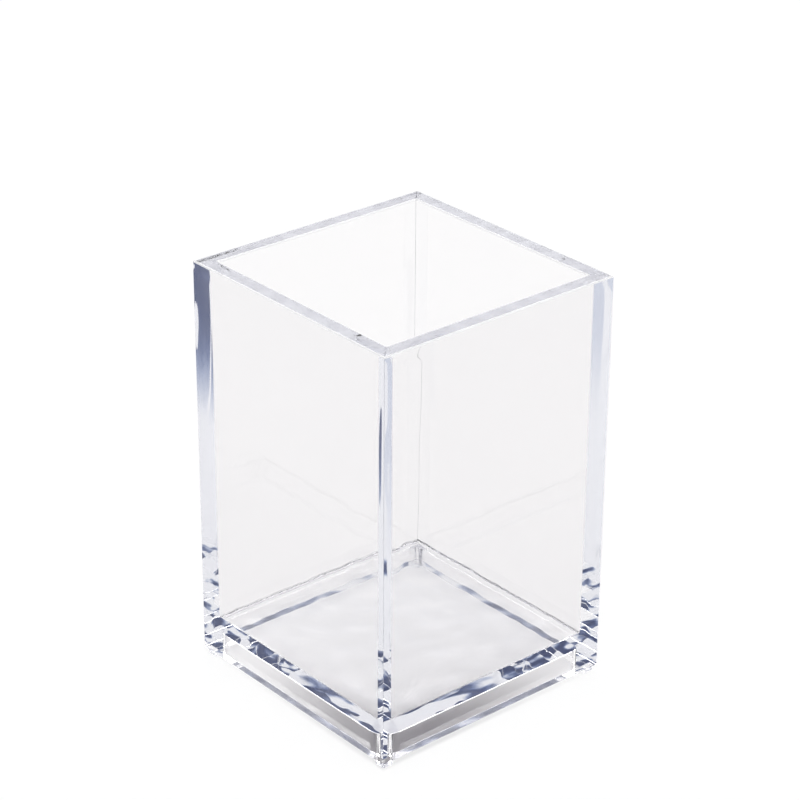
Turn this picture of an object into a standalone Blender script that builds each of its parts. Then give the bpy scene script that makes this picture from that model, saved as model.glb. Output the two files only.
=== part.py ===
"""Clear desk pen holder: a square acrylic cup that stands on four small feet.

Four mitred wall panels stand round a floor plate.  The plate is set up inside them, so the
panels run down past it as a skirt, and a foot is bonded under each mitred corner.
Everything is cast clear acrylic, cemented together, and nothing moves.  Units are metres,
+Z is up, and the origin is on the table under the centre of the cup.
"""

import math

import bmesh
import bpy
from mathutils import Matrix

# Overall sizes
OUTER_WIDTH = 0.066
WALL_HEIGHT = 0.100
WALL_THICKNESS = 0.004

# The floor plate, and how far its underside lies above the lower edge of the walls
FLOOR_THICKNESS = 0.004
RECESS_DEPTH = 0.0052

# The feet, and how far they stand in from the outer faces of the walls
FOOT_WIDTH = 0.003
FOOT_HEIGHT = 0.0012
FOOT_INSET = 0.0006
FOOT_CORNER_RADIUS = 0.0005

# The line of cement between two bonded faces, and the broken edges of the polished sheet
BOND_LINE = 0.0003
EDGE_BREAK = 0.00025
FOOT_EDGE_BREAK = 0.0002

# Counts
QUARTER_TURN = math.pi / 2
FOOT_CORNER_SEGMENTS = 3

# Places that follow from the sizes
WALL_BOTTOM = FOOT_HEIGHT + BOND_LINE
INNER_WIDTH = OUTER_WIDTH - 2 * WALL_THICKNESS
FLOOR_WIDTH = INNER_WIDTH - 2 * BOND_LINE
FLOOR_BOTTOM = WALL_BOTTOM + RECESS_DEPTH
FOOT_CENTRE = OUTER_WIDTH / 2 - FOOT_INSET - FOOT_WIDTH / 2

# Half the cement line, measured along the panel, because the mitre is cut at 45 degrees
MITRE_SETBACK = BOND_LINE / math.sqrt(2)

# Clear acrylic, a little cooler in the thick walls than in the floor and the feet
WALL_COLOUR = (0.93, 0.94, 0.97, 1.0)
FLOOR_COLOUR = (0.95, 0.95, 0.97, 1.0)
FOOT_COLOUR = (0.96, 0.96, 0.97, 1.0)
ACRYLIC_IOR = 1.49
POLISHED_ROUGHNESS = 0.02
CUT_ROUGHNESS = 0.08


def clear_scene():
    """Remove the objects that the file opened with."""
    for thing in list(bpy.data.objects):
        bpy.data.objects.remove(thing, do_unlink=True)


def clear_acrylic(name, colour, roughness):
    """Return a clear, colourless-to-cool acrylic finish."""
    material = bpy.data.materials.new(name)
    material.use_nodes = True
    shader = material.node_tree.nodes["Principled BSDF"]
    shader.inputs["Base Color"].default_value = colour
    shader.inputs["Roughness"].default_value = roughness
    shader.inputs["Metallic"].default_value = 0.0
    shader.inputs["IOR"].default_value = ACRYLIC_IOR
    shader.inputs["Transmission Weight"].default_value = 1.0
    return material


def add_piece(name, shape, material, holder):
    """Turn a finished bmesh into a named object under the holder's empty."""
    bmesh.ops.recalc_face_normals(shape, faces=shape.faces)
    mesh = bpy.data.meshes.new(name)
    shape.to_mesh(mesh)
    shape.free()
    mesh.materials.append(material)
    piece = bpy.data.objects.new(name, mesh)
    bpy.context.collection.objects.link(piece)
    piece.parent = holder
    return piece


def broken_rectangle(depth, height, corner_break):
    """Outline, in depth and height, of a sheet's section with its four edges broken."""
    return [
        (0, corner_break),
        (corner_break, 0),
        (depth - corner_break, 0),
        (depth, corner_break),
        (depth, height - corner_break),
        (depth - corner_break, height),
        (corner_break, height),
        (0, height - corner_break),
    ]


def wall_panel(name, quarter_turns, holder):
    """A wall: the sheet's section drawn out along X, with both ends cut to a 45 degree mitre.

    Its outer face looks along -Y, and the panel is then turned to its own side of the cup.
    """
    section = broken_rectangle(WALL_THICKNESS, WALL_HEIGHT, EDGE_BREAK)
    shape = bmesh.new()
    ends = []
    for side in (-1, 1):
        ring = []
        for depth, height in section:
            reach = OUTER_WIDTH / 2 - MITRE_SETBACK - depth
            ring.append(shape.verts.new((side * reach, depth, height)))
        ends.append(ring)
    left, right = ends
    shape.faces.new(left)
    shape.faces.new(reversed(right))
    for here in range(len(section)):
        there = (here + 1) % len(section)
        shape.faces.new((left[there], left[here], right[here], right[there]))
    finish = clear_acrylic(name + "_acrylic", WALL_COLOUR, POLISHED_ROUGHNESS)
    panel = add_piece(name, shape, finish, holder)
    turn = quarter_turns * QUARTER_TURN
    panel.rotation_euler = (0, 0, turn)
    panel.location = Matrix.Rotation(turn, 3, "Z") @ Matrix.Translation(
        (0, -OUTER_WIDTH / 2, WALL_BOTTOM)).translation
    return panel


def floor_plate(holder):
    """The floor: a square of the same sheet, with its edges broken all round."""
    shape = bmesh.new()
    bmesh.ops.create_cube(shape, size=1)
    bmesh.ops.scale(shape, verts=shape.verts, vec=(FLOOR_WIDTH, FLOOR_WIDTH, FLOOR_THICKNESS))
    level_edges = [edge for edge in shape.edges if edge.verts[0].co.z == edge.verts[1].co.z]
    bmesh.ops.bevel(shape, geom=level_edges, offset=EDGE_BREAK, segments=1, affect="EDGES")
    finish = clear_acrylic("floor_plate_acrylic", FLOOR_COLOUR, POLISHED_ROUGHNESS)
    plate = add_piece("floor_plate", shape, finish, holder)
    plate.location = (0, 0, FLOOR_BOTTOM + FLOOR_THICKNESS / 2)
    return plate


def corner_foot(name, side_x, side_y, holder):
    """A foot: a small square block with rounded corners, its lower edge broken."""
    shape = bmesh.new()
    bmesh.ops.create_cube(shape, size=1)
    bmesh.ops.scale(shape, verts=shape.verts, vec=(FOOT_WIDTH, FOOT_WIDTH, FOOT_HEIGHT))
    upright_edges = [edge for edge in shape.edges if edge.verts[0].co.z != edge.verts[1].co.z]
    bmesh.ops.bevel(shape, geom=upright_edges, offset=FOOT_CORNER_RADIUS,
                    segments=FOOT_CORNER_SEGMENTS, profile=0.5, affect="EDGES")
    lowest = min(vert.co.z for vert in shape.verts)
    lower_edges = [edge for edge in shape.edges
                   if edge.verts[0].co.z == lowest and edge.verts[1].co.z == lowest]
    bmesh.ops.bevel(shape, geom=lower_edges, offset=FOOT_EDGE_BREAK, segments=1,
                    affect="EDGES")
    finish = clear_acrylic(name + "_acrylic", FOOT_COLOUR, CUT_ROUGHNESS)
    foot = add_piece(name, shape, finish, holder)
    foot.location = (side_x * FOOT_CENTRE, side_y * FOOT_CENTRE, FOOT_HEIGHT / 2)
    return foot


clear_scene()
pen_holder = bpy.data.objects.new("pen_holder", None)
bpy.context.collection.objects.link(pen_holder)

for turns, side_name in enumerate(("front", "right", "back", "left")):
    wall_panel(side_name + "_wall", turns, pen_holder)

floor_plate(pen_holder)

for depth_name, side_y in (("front", -1), ("back", 1)):
    for width_name, side_x in (("left", -1), ("right", 1)):
        corner_foot(f"{depth_name}_{width_name}_foot", side_x, side_y, pen_holder)
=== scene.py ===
"""Looks for the clear acrylic pen holder: four mitred walls, a floor plate and four feet."""

import math

import bmesh
import bpy
from mathutils import Matrix, Vector


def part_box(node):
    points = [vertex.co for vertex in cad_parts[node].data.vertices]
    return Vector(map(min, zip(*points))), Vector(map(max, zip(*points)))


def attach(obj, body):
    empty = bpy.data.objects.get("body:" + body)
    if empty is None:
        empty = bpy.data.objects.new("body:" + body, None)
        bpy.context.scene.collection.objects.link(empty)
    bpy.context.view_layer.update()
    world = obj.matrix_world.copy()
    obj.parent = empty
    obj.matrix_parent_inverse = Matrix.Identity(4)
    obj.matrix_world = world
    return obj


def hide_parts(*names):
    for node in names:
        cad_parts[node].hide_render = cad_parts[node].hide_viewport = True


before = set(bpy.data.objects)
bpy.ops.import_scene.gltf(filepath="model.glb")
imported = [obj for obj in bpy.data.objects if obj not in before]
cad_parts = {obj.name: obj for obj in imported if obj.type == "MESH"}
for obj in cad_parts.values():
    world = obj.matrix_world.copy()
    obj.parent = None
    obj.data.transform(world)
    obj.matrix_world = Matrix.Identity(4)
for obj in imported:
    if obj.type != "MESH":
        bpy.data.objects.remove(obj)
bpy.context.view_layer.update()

# The camera stands above and to the right of the cup, on a long lens, as the photograph was
# taken.  It is turned a third of a degree, and aims a little over the middle of the walls.
CAMERA_AZIMUTH = math.radians(49.39)
CAMERA_ELEVATION = math.radians(26.15)
CAMERA_ROLL = math.radians(0.365)
CAMERA_DISTANCE = 0.605
CAMERA_AIM_SIDE = -0.0003
CAMERA_AIM_HEIGHT = 0.0690
PHOTO_WIDTH_PX = 800
FOCAL_LENGTH_PX = 2672
SENSOR_WIDTH_MM = 36.0
NEAREST_SEEN = 0.01
FARTHEST_SEEN = 20

back = Vector((math.sin(CAMERA_AZIMUTH) * math.cos(CAMERA_ELEVATION),
               -math.cos(CAMERA_AZIMUTH) * math.cos(CAMERA_ELEVATION),
               math.sin(CAMERA_ELEVATION)))
right = Vector((math.cos(CAMERA_AZIMUTH), math.sin(CAMERA_AZIMUTH), 0))
up = back.cross(right)
turned_right = math.cos(CAMERA_ROLL) * right + math.sin(CAMERA_ROLL) * up
turned_up = math.cos(CAMERA_ROLL) * up - math.sin(CAMERA_ROLL) * right
aim = right * CAMERA_AIM_SIDE + Vector((0, 0, CAMERA_AIM_HEIGHT))

camera = bpy.data.objects.new("camera", bpy.data.cameras.new("camera"))
bpy.context.collection.objects.link(camera)
camera.matrix_world = Matrix.Translation(aim + back * CAMERA_DISTANCE) @ Matrix(
    (turned_right, turned_up, back)).transposed().to_4x4()
camera.data.sensor_width = SENSOR_WIDTH_MM
camera.data.lens = FOCAL_LENGTH_PX / PHOTO_WIDTH_PX * SENSOR_WIDTH_MM
camera.data.clip_start = NEAREST_SEEN
camera.data.clip_end = FARTHEST_SEEN
bpy.context.scene.camera = camera

# The walls are four mitred panels of clear cast acrylic sheet, cemented corner to corner.
# Their faces are as cast, and wavy near the cemented base.  The rim is polished and its
# arrises are scraped with a blade.  Below the floor the cement fills the inner corners.
wall_low, wall_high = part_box("front_wall")
HALF_WIDTH = -wall_low.y
WALL_THICKNESS = wall_high.y - wall_low.y
WALL_BOTTOM = wall_low.z
WALL_TOP = wall_high.z
INNER_HALF = HALF_WIDTH - WALL_THICKNESS
plate_low, plate_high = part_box("floor_plate")
foot_low, foot_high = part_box("front_left_foot")
FOOT_OUTER_DEPTH = foot_low.y + HALF_WIDTH
FOOT_INNER_DEPTH = foot_high.y + HALF_WIDTH

# Radii of the arrises, of the upright corners and of the cement's fillets
RIM_ARRIS_RADIUS = 0.0004
LOWER_ARRIS_RADIUS = 0.00012
OUTER_CORNER_RADIUS = 0.00006
INNER_CORNER_RADIUS = 0.00006
SKIRT_CORNER_RADIUS = 0.0025
SHARP_RADIUS = 0.00004
UPPER_FILLET = 0.0004
LOWER_FILLET = 0.00012
CEMENT_GAP = 0.00001
ARC_STEPS = 4

# The acrylic: clear, a little cooler in thick places
ACRYLIC_IOR = 1.49
WALL_TINT = (0.927, 0.92, 0.924, 1)
ABSORPTION_COLOUR = (0.93, 0.93, 0.95, 1)
ABSORPTION_PER_METRE = 10

# Long waves of the cast sheet, drawn out upwards: deeper near the upright corners, deepest
# high up at the front left one, and polished away at the rim
WAVE_LENGTH = 0.009
WAVE_DETAIL = 1.0
WAVE_STRETCH = 4
WAVE_HEIGHT = 0.00005
CORNER_WAVES = (0.020, 0.028)
CORNER_WAVE_GAIN = 1.5
LEFT_CORNER = (0.050, 0.058)
LEFT_HEIGHT = (0.045, 0.070)
LEFT_WAVE_GAIN = 5.0
RIM_CALM = (WALL_TOP - 0.004, WALL_TOP - 0.0005)
RIM_CALM_SHARE = 0.9

# Short waves on the outer faces near the cemented base, calmer at the front right corner
BASE_WAVE_LENGTH = 0.006
BASE_WAVE_DETAIL = 0.0
BASE_WAVE_STRETCH = 0.67
BASE_WAVE_START = (0.08, 0.02, 0.017)
BASE_WAVES = (0.0055, 0.0105, 0.0150, 0.0300)
WALL_BASE_WAVE = 0.00010
OUTER_WAVES = (HALF_WIDTH - 0.002, HALF_WIDTH - 0.001)
FRONT_CORNER = (0.057, 0.062)
FRONT_CALM_SHARE = 0.6

# Polished, wiped and scraped faces
POLISH_ROUGHNESS = 0.0
RUBBED_ROUGHNESS = 0.01
WIPED_LENGTH = 0.0045
WIPED_DETAIL = 4.0
WIPED_PATCHES = (0.6, 0.8)
SCRAPED_ROUGHNESS = 0.18
SCRAPED_WHITE = (0.97, 0.97, 0.98, 1)
SCRAPED_SHARE = 0.7


class Signal:
    """A shader socket that can be used in sums, and from which other nodes are added."""

    def __init__(self, tree, socket=None):
        self.tree = tree
        self.socket = socket

    def add(self, kind, settings=None, sockets=None, output=0):
        """Add a node: its settings first, then the values or signals of its sockets."""
        node = self.tree.nodes.new(kind)
        for name, value in (settings or {}).items():
            setattr(node, name, value)
        for name, value in (sockets or {}).items():
            if isinstance(value, Signal):
                self.tree.links.new(value.socket, node.inputs[name])
            else:
                node.inputs[name].default_value = value
        return Signal(self.tree, node.outputs[output] if node.outputs else None)

    def parts(self):
        """The X, Y and Z of a vector."""
        return [self.add("ShaderNodeSeparateXYZ", None, {"Vector": self}, output=axis)
                for axis in "XYZ"]

    def math(self, operation, first, second):
        """A Math node of two values or signals."""
        return self.add("ShaderNodeMath", {"operation": operation}, {0: first, 1: second})

    def __add__(self, other):
        return self.math("ADD", self, other)

    def __sub__(self, other):
        return self.math("SUBTRACT", self, other)

    def __mul__(self, other):
        return self.math("MULTIPLY", self, other)

    def __rsub__(self, other):
        return self.math("SUBTRACT", other, self)

    def __abs__(self):
        return self.add("ShaderNodeMath", {"operation": "ABSOLUTE"}, {0: self})

    __radd__ = __add__
    __rmul__ = __mul__


def new_tree(owner):
    """Switch nodes on for a material or a world, empty its tree and return a start in it."""
    owner.use_nodes = True
    owner.node_tree.nodes.clear()
    return Signal(owner.node_tree)


def ramp(value, low, high):
    """Nought below the low value, one above the high one, and smooth between."""
    return value.add("ShaderNodeMapRange", {"interpolation_type": "SMOOTHSTEP"},
                     {"Value": value, "From Min": low, "From Max": high})


def band(value, stops):
    """Nought outside the outer two of four stops, one between the inner two."""
    start_stop, full_stop, fade_stop, end_stop = stops
    return ramp(value, start_stop, full_stop) * (1 - ramp(value, fade_stop, end_stop))


def noise(place, length, detail):
    """Soft noise between nought and one, whose bumps are about a length apart."""
    return place.add("ShaderNodeTexNoise", {"noise_dimensions": "3D"},
                     {"Vector": place, "Scale": 1 / length, "Detail": detail})


def clear_acrylic(name, tint, base_wave_height, rubbed_roughness):
    """Clear acrylic: drawn-out waves as cast, short ones outside near the cemented base.

    It is polished clear, with a few soft patches where it has been wiped, and white where it
    has been scraped.
    """
    material = bpy.data.materials.new(name)
    start = new_tree(material)
    place = start.add("ShaderNodeTexCoord", output="Object")
    stretched = start.add("ShaderNodeVectorMath", {"operation": "MULTIPLY"},
                          {0: place, 1: (1, 1, 1 / WAVE_STRETCH)})
    flattened = start.add("ShaderNodeVectorMath", {"operation": "MULTIPLY_ADD"},
                          {0: place, 1: (BASE_WAVE_STRETCH, BASE_WAVE_STRETCH, 1),
                           2: BASE_WAVE_START})
    across, along, height = place.parts()
    near_base = band(height, BASE_WAVES)
    near_corner = ramp(start.math("MINIMUM", abs(across), abs(along)), *CORNER_WAVES)
    upper_left = ramp(0 - across - along, *LEFT_CORNER) * ramp(height, *LEFT_HEIGHT)
    outside = ramp(start.math("MAXIMUM", abs(across), abs(along)), *OUTER_WAVES)
    calm = 1 - RIM_CALM_SHARE * ramp(height, *RIM_CALM)
    base_calm = 1 - FRONT_CALM_SHARE * ramp(across - along, *FRONT_CORNER)
    wave = (noise(stretched, WAVE_LENGTH, WAVE_DETAIL) * calm * WAVE_HEIGHT
            * (1 + CORNER_WAVE_GAIN * near_corner + LEFT_WAVE_GAIN * upper_left)
            + noise(flattened, BASE_WAVE_LENGTH, BASE_WAVE_DETAIL) * near_base * outside
            * base_calm * base_wave_height)
    bump = start.add("ShaderNodeBump", None,
                     {"Height": wave, "Strength": 1.0, "Distance": 1.0})
    wiped = ramp(noise(place, WIPED_LENGTH, WIPED_DETAIL), *WIPED_PATCHES)
    scraped = start.add("ShaderNodeAttribute", {"attribute_name": "scraped"}, output="Fac")
    roughness = (POLISH_ROUGHNESS + (rubbed_roughness - POLISH_ROUGHNESS) * wiped
                 + SCRAPED_ROUGHNESS * scraped)
    polished_face = start.add("ShaderNodeBsdfPrincipled", None, {
        "Base Color": tint, "Roughness": roughness, "IOR": ACRYLIC_IOR,
        "Transmission Weight": 1.0, "Normal": bump})
    scraped_face = start.add("ShaderNodeBsdfDiffuse", None, {"Color": SCRAPED_WHITE})
    open_face = start.add("ShaderNodeMixShader", None,
                          {0: scraped * SCRAPED_SHARE, 1: polished_face, 2: scraped_face})
    joined_face = start.add("ShaderNodeBsdfTransparent")
    wetted = start.add("ShaderNodeAttribute", {"attribute_name": "cement_wetted"}, output="Fac")
    surface = start.add("ShaderNodeMixShader", None, {0: wetted, 1: open_face, 2: joined_face})
    volume = start.add("ShaderNodeVolumeAbsorption", None, {
        "Color": ABSORPTION_COLOUR, "Density": ABSORPTION_PER_METRE})
    start.add("ShaderNodeOutputMaterial", None, {"Surface": surface, "Volume": volume})
    return material


def new_shape():
    """An empty bmesh whose faces can be marked as wetted by cement, or as scraped.

    Light crosses a wetted face as if the pieces on its two sides were one.  A scraped face is
    an arris broken with the back of a blade, and catches the light as a fine white line.
    """
    shape = bmesh.new()
    shape.faces.layers.float.new("cement_wetted")
    shape.faces.layers.float.new("scraped")
    return shape


def mark(shape, face, layer_name):
    """Mark a face as wetted or as scraped, by the name of the layer."""
    face[shape.faces.layers.float[layer_name]] = 1.0


def arc(centre, radius, start_degrees, end_degrees):
    """Points along an arc in the plane of a section."""
    points = []
    for step in range(ARC_STEPS + 1):
        angle = math.radians(start_degrees + (end_degrees - start_degrees) * step / ARC_STEPS)
        points.append((centre[0] + radius * math.cos(angle),
                       centre[1] + radius * math.sin(angle)))
    return points


def side_outline(half, radius, turns=0):
    """One side of a rounded square, from one mitre to the next, turned to its own side."""
    left_round = arc((radius - half, radius - half), radius, 225, 270)
    right_round = arc((half - radius, radius - half), radius, 270, 315)
    turn = Matrix.Rotation(turns * math.pi / 2, 2)
    return [turn @ Vector(point) for point in left_round + right_round]


def whole_outline(half, radius):
    """A whole rounded square, as four sides that share their mitre points."""
    return [point for turns in range(4) for point in side_outline(half, radius, turns)[:-1]]


def add_piece(name, shape, material, node):
    """Make a named object of a finished bmesh, to stand for its CAD node."""
    bmesh.ops.recalc_face_normals(shape, faces=shape.faces)
    mesh = bpy.data.meshes.new(name)
    shape.to_mesh(mesh)
    shape.free()
    mesh.materials.append(material)
    piece = bpy.data.objects.new(name, mesh)
    bpy.context.collection.objects.link(piece)
    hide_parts(node)
    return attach(piece, "root")


def skin(shape, upper, lower, kind, is_round, is_wet):
    """Faces between two rows of points, by their kind: flat, round, wet, arris or foot.

    Any kind is shaded smooth where is_round says so.  A foot face lies over a foot or beside
    it, and is_wet says where the cement has wetted it.  An arris is scraped.
    """
    for here in range(len(upper) - 1):
        face = shape.faces.new((upper[here], upper[here + 1], lower[here + 1], lower[here]))
        face.smooth = kind in ("round", "arris") or is_round(here)
        if kind == "wet" or (kind == "foot" and is_wet(here)):
            mark(shape, face, "cement_wetted")
        if kind == "arris":
            mark(shape, face, "scraped")


def wall_section():
    """The wall's section all round, as (depth, height, corner radius, kind of face next)."""
    rim, lower = RIM_ARRIS_RADIUS, LOWER_ARRIS_RADIUS
    inner_face = WALL_THICKNESS - lower
    section = []
    for edge, depth, height, start_degrees, end_degrees in (
            (lower, lower, WALL_BOTTOM + lower, 270, 180),
            (rim, rim, WALL_TOP - rim, 180, 90),
            (rim, WALL_THICKNESS - rim, WALL_TOP - rim, 90, 0),
            (lower, inner_face, WALL_BOTTOM + lower, 0, -90)):
        points = arc((depth, height), edge, start_degrees, end_degrees)
        if depth == inner_face:
            section.append((WALL_THICKNESS, plate_high.z + UPPER_FILLET, "wet"))
            section.append((WALL_THICKNESS, plate_low.z - LOWER_FILLET, "flat"))
        kind = "arris" if edge == rim else "round"
        section += [(depth, height, kind) for depth, height in points[:-1]]
        section.append((*points[-1], "flat"))
    rows = [(depth, height, wall_corner_radius(depth, height), kind)
            for depth, height, kind in section]
    rows.append((FOOT_INNER_DEPTH, WALL_BOTTOM, SHARP_RADIUS, "foot"))
    rows.append((FOOT_OUTER_DEPTH, WALL_BOTTOM, SHARP_RADIUS, "flat"))
    return rows


def wall_corner_radius(depth, height):
    """Radius of the upright corner at a depth from the outer face."""
    if depth < WALL_THICKNESS / 2:
        return max(OUTER_CORNER_RADIUS - depth, SHARP_RADIUS)
    inner_radius = INNER_CORNER_RADIUS if height > plate_high.z else SKIRT_CORNER_RADIUS
    return inner_radius + WALL_THICKNESS - depth


def wall_outline(half, radius):
    """A panel's outline from mitre to mitre, with points where the feet end under it."""
    outline = side_outline(half, radius)
    foot_end = min(HALF_WIDTH - FOOT_INNER_DEPTH, half - radius - CEMENT_GAP)
    middle = [Vector((-foot_end, -half)), Vector((foot_end, -half))]
    outline = outline[:ARC_STEPS + 1] + middle + outline[ARC_STEPS + 1:]
    outline[0].x += CEMENT_GAP
    outline[-1].x -= CEMENT_GAP
    return outline


def wall_panel(side_name, turns, material):
    """One mitred panel, its section carried from mitre to mitre round half a corner each."""
    shape = new_shape()
    turn = Matrix.Rotation(turns * math.pi / 2, 2)
    rows = []
    for depth, height, radius, kind in wall_section():
        outline = [turn @ point for point in wall_outline(HALF_WIDTH - depth, radius)]
        rows.append(([shape.verts.new((x, y, height)) for x, y in outline], kind))
    for here, (row, kind) in enumerate(rows):
        following = rows[(here + 1) % len(rows)][0]
        skin(shape, row, following, kind,
             lambda column: not ARC_STEPS <= column <= ARC_STEPS + 2,
             lambda column: column != ARC_STEPS + 1)
    for column in (0, -1):
        mark(shape, shape.faces.new([row[column] for row, kind in rows]), "cement_wetted")
    return add_piece(side_name + "_wall_panel", shape, material, side_name + "_wall")


wall_acrylic = clear_acrylic("wall_acrylic", WALL_TINT, WALL_BASE_WAVE, RUBBED_ROUGHNESS)
for turns, side_name in enumerate(("front", "right", "back", "left")):
    wall_panel(side_name, turns, wall_acrylic)

# The floor plate is a square of the same sheet, cemented in all round above the lower edge
# of the walls.  The cement has drawn up into a small fillet above the plate and below it.
FLOOR_TINT = (0.98, 0.98, 0.985, 1)
FLOOR_BASE_WAVE = 0.00001


def block(stations, top_is_wet=False):
    """A closed block of rounded squares, each (half width, radius, height, kind)."""
    shape = new_shape()
    rows = []
    for half, radius, height, kind in stations:
        row = [shape.verts.new((x, y, height)) for x, y in whole_outline(half, radius)]
        rows.append((row, kind))
    side = 2 * ARC_STEPS + 1
    for (row, kind), (following, following_kind) in zip(rows, rows[1:]):
        skin(shape, row + row[:1], following + following[:1], kind,
             lambda column: column % side != ARC_STEPS, lambda column: False)
    top = shape.faces.new(rows[0][0])
    if top_is_wet:
        mark(shape, top, "cement_wetted")
    shape.faces.new(reversed(rows[-1][0]))
    return shape


plate_half = INNER_HALF - CEMENT_GAP
plate_stations = []
for edge_radius, centre, start_degrees in (
        (INNER_CORNER_RADIUS, (plate_half - UPPER_FILLET, plate_high.z + UPPER_FILLET), 270),
        (SKIRT_CORNER_RADIUS, (plate_half - LOWER_FILLET, plate_low.z - LOWER_FILLET), 0)):
    fillet = arc(centre, plate_half - centre[0], start_degrees, start_degrees + 90)
    plate_stations += [(half, max(edge_radius + half - plate_half, SHARP_RADIUS), height,
                        "round") for half, height in fillet]
wall_side = len(fillet) - 1
plate_stations[wall_side] = (*plate_stations[wall_side][:3], "wet")
floor_acrylic = clear_acrylic("floor_acrylic", FLOOR_TINT, FLOOR_BASE_WAVE, RUBBED_ROUGHNESS)
add_piece("floor_plate_panel", block(plate_stations), floor_acrylic, "floor_plate")

# The feet are small square blocks cut from the same acrylic, their corners rounded, one
# bonded under each mitre so that only four corners touch the table.
FOOT_TINT = (0.97, 0.97, 0.98, 1)
FOOT_CORNER_RADIUS = 0.0005
FOOT_CEMENT_RADIUS = 0.00004
FOOT_CEMENT_HEIGHT = 0.00015
FOOT_EDGE = 0.0002
FOOT_RUBBED_ROUGHNESS = 0.12

foot_acrylic = clear_acrylic("foot_acrylic", FOOT_TINT, 0.0, FOOT_RUBBED_ROUGHNESS)
for depth_name in ("front", "back"):
    for width_name in ("left", "right"):
        node = f"{depth_name}_{width_name}_foot"
        foot_low, foot_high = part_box(node)
        half = (foot_high.x - foot_low.x) / 2
        stations = [(half, FOOT_CEMENT_RADIUS, WALL_BOTTOM - CEMENT_GAP, "flat"),
                    (half, FOOT_CORNER_RADIUS, WALL_BOTTOM - FOOT_CEMENT_HEIGHT, "flat")]
        for offset, height in arc((half - FOOT_EDGE, foot_low.z + FOOT_EDGE), FOOT_EDGE,
                                  0, -90):
            stations.append((offset, FOOT_CORNER_RADIUS + offset - half, height, "round"))
        shape = block(stations, top_is_wet=True)
        centre = (foot_low + foot_high) / 2
        bmesh.ops.translate(shape, verts=shape.verts, vec=(centre.x, centre.y, 0))
        add_piece(node + "_block", shape, foot_acrylic, node)

# The stage is a plain white table with a soft shade under the cup, in a white room.
# Light that has gone through the acrylic lengthwise, from edge to edge, comes from a dark band
# of the room or from painted shade on parts of the table that only such light sees.  Light that
# has only crossed a wall is white.
TABLE_HALF = 3.0
TABLE_DROP = 0.00002
TABLE_COLOUR = (0.92, 0.92, 0.92, 1)
BACKDROP_SHARE = 0.75

# How often light has bounced when it counts as gone through lengthwise, and how dark it gets
DEEP_BOUNCES = (7.1, 7.9)
# On the table this darkness is painted shade; in the room it is a dark part of the light
DARK_COLOUR = (0.012, 0.022, 0.085, 1)
DARK_BASE = 0.025

# Painted shade on the table, seen only by light that has bounced often in the acrylic, by its
# distance from the
# middle of the cup: dark far out at the back right, grey far out at the front left, and a
# narrow blue strip by the back left corner
DARK_SIDE = Vector((0.65, 0.76, 0))
DARK_TABLE = (0.080, 0.165)
DARK_TABLE_SHARE = 0.7
GREY_TABLE = (-0.165, -0.080)
GREY_TABLE_SHARE = 0.07
BLUE_SIDE = Vector((-0.7, 0.7, 0))
BLUE_TABLE = (0.045, 0.048, 0.050, 0.054)
BLUE_TABLE_SHARE = 0.7
BLUE_BOUNCES = (6.4, 7.6, 8.2, 8.8)

# The room's dark band and its bright one, by the sine of their angle above the horizon
DARK_HEIGHT = (0.497, 0.525, 0.540, 0.565)
DARK_ROOM_SHARE = 0.78
GLINT_HEIGHT = (0.50, 0.60, 0.85, 0.95)
GLINT_LIGHT = 7.0

# How strongly the room lights matt faces: less from low down, and more from overhead
LOW_LIGHT = 0.6
TOP_LIGHT = 1.1

# The shade under the cup, darkest beneath the walls at the front right corner
SHADE_CENTRE = Vector((0.026, -0.016, 0))
SHADE_REACH = (0.0, 0.056)
SHADE_UNDER_WALLS = (0.014, 0.024)
SHADE_MIDDLE_SHARE = 0.35
SHADE_EDGE = (0.0320, 0.0335)
SHADE_COLOUR = (0.22, 0.21, 0.23, 1)

table = bpy.data.objects.new("table", bpy.data.meshes.new("table"))
bpy.context.collection.objects.link(table)
table_shape = bmesh.new()
bmesh.ops.create_grid(table_shape, size=TABLE_HALF)
bmesh.ops.translate(table_shape, verts=table_shape.verts, vec=(0, 0, -TABLE_DROP))
table_shape.to_mesh(table.data)
table_shape.free()
table_material = bpy.data.materials.new("table_white")
start = new_tree(table_material)
bounces = start.add("ShaderNodeLightPath", output="Ray Depth")
deep = ramp(bounces, *DEEP_BOUNCES)
place = start.add("ShaderNodeTexCoord", output="Object")
reach = start.add("ShaderNodeVectorMath", {"operation": "DOT_PRODUCT"},
                  {0: place, 1: DARK_SIDE}, output="Value")
blue_reach = start.add("ShaderNodeVectorMath", {"operation": "DOT_PRODUCT"},
                       {0: place, 1: BLUE_SIDE}, output="Value")
# Painted shade: the table is darkened, greyed or tinted blue only for light that has bounced
# often in the acrylic
blue = BLUE_TABLE_SHARE * band(bounces, BLUE_BOUNCES) * band(blue_reach, BLUE_TABLE)
grey = GREY_TABLE_SHARE * (1 - ramp(reach, *GREY_TABLE))
dark = blue + deep * (DARK_BASE + grey + DARK_TABLE_SHARE * ramp(reach, *DARK_TABLE))
across, along = place.parts()[:2]
away = start.add("ShaderNodeVectorMath", {"operation": "DISTANCE"},
                 {0: place, 1: SHADE_CENTRE}, output="Value")
outwards = start.math("MAXIMUM", abs(across), abs(along))
under_cup = 1 - ramp(outwards, *SHADE_EDGE)
under_walls = ramp(outwards, *SHADE_UNDER_WALLS)
shade = (1 - deep) * under_cup * (1 - ramp(away, *SHADE_REACH))
shade = shade * (SHADE_MIDDLE_SHARE + (1 - SHADE_MIDDLE_SHARE) * under_walls)
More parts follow.
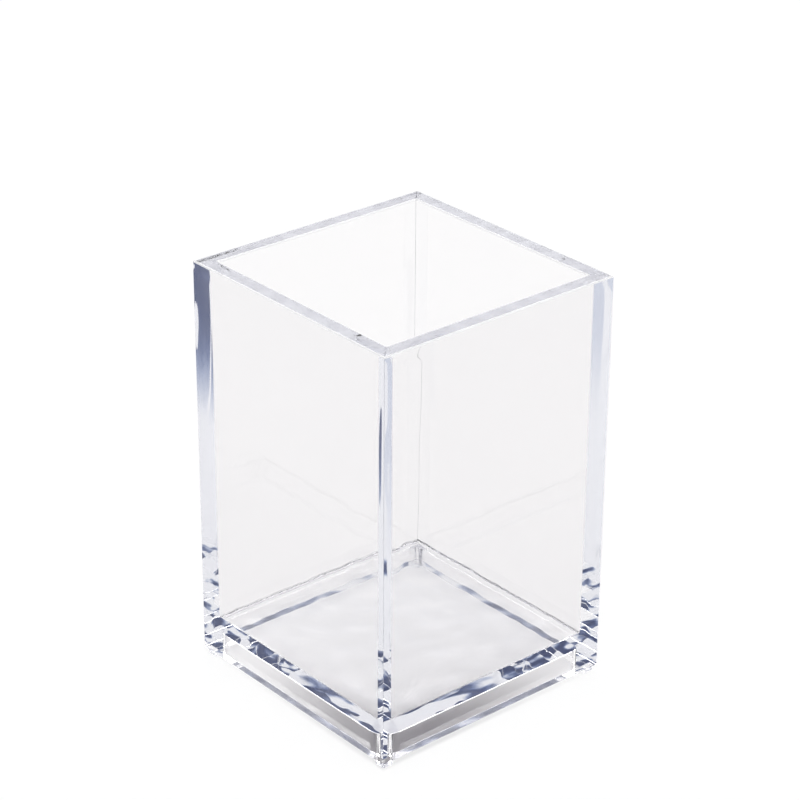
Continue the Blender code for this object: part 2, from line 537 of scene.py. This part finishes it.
# A Mix node's two colours are its sockets 6 and 7, and its mixed colour is output 2
table_colour = start.add("ShaderNodeMix", {"data_type": "RGBA"},
                         {0: shade, 6: TABLE_COLOUR, 7: SHADE_COLOUR}, output=2)
# The painted shade darkens and tints the table's colour
dark_tint = start.add("ShaderNodeGamma", None, {"Color": DARK_COLOUR, "Gamma": dark})
table_colour = start.add("ShaderNodeVectorMath", {"operation": "MULTIPLY"},
                         {0: table_colour, 1: dark_tint})
table_surface = start.add("ShaderNodeBsdfDiffuse", None, {"Color": table_colour})
backdrop = start.add("ShaderNodeEmission")
seen = start.add("ShaderNodeLightPath", output="Is Camera Ray") * BACKDROP_SHARE
table_surface = start.add("ShaderNodeMixShader", None,
                          {0: seen, 1: table_surface, 2: backdrop})
start.add("ShaderNodeOutputMaterial", None, {"Surface": table_surface})
table.data.materials.append(table_material)

world = bpy.data.worlds.new("room")
bpy.context.scene.world = world
world.cycles.sampling_method = "NONE"
start = new_tree(world)
bounces = start.add("ShaderNodeLightPath", output="Ray Depth")
deep = ramp(bounces, *DEEP_BOUNCES)
# One for the light that falls on matt faces, and nought for what is seen through the acrylic
lighting = start.add("ShaderNodeLightPath", output="Diffuse Depth")
lighting = start.math("MINIMUM", lighting, 1)
direction = start.add("ShaderNodeTexCoord", output="Generated")
height = start.math("MAXIMUM", direction.parts()[2], 0)
dark = deep * (DARK_BASE + DARK_ROOM_SHARE * band(height, DARK_HEIGHT))
colour = start.add("ShaderNodeGamma", None,
                   {"Color": DARK_COLOUR, "Gamma": dark * (1 - lighting)})
glint = GLINT_LIGHT * band(height, GLINT_HEIGHT) * (1 - deep) * (1 - lighting)
strength = 1 + glint + lighting * (LOW_LIGHT - 1 + TOP_LIGHT * height * height)
room = start.add("ShaderNodeBackground", None, {"Color": colour, "Strength": strength})
start.add("ShaderNodeOutputWorld", None, {"Surface": room})

# Light follows the acrylic from edge to edge only if it may bounce often
MOST_BOUNCES = 48
cycles = bpy.context.scene.cycles
cycles.max_bounces = MOST_BOUNCES
cycles.transmission_bounces = MOST_BOUNCES
cycles.glossy_bounces = MOST_BOUNCES
cycles.transparent_max_bounces = MOST_BOUNCES
cycles.blur_glossy = 0
cycles.caustics_reflective = True
cycles.caustics_refractive = True
bpy.context.scene.view_settings.view_transform = "Standard"
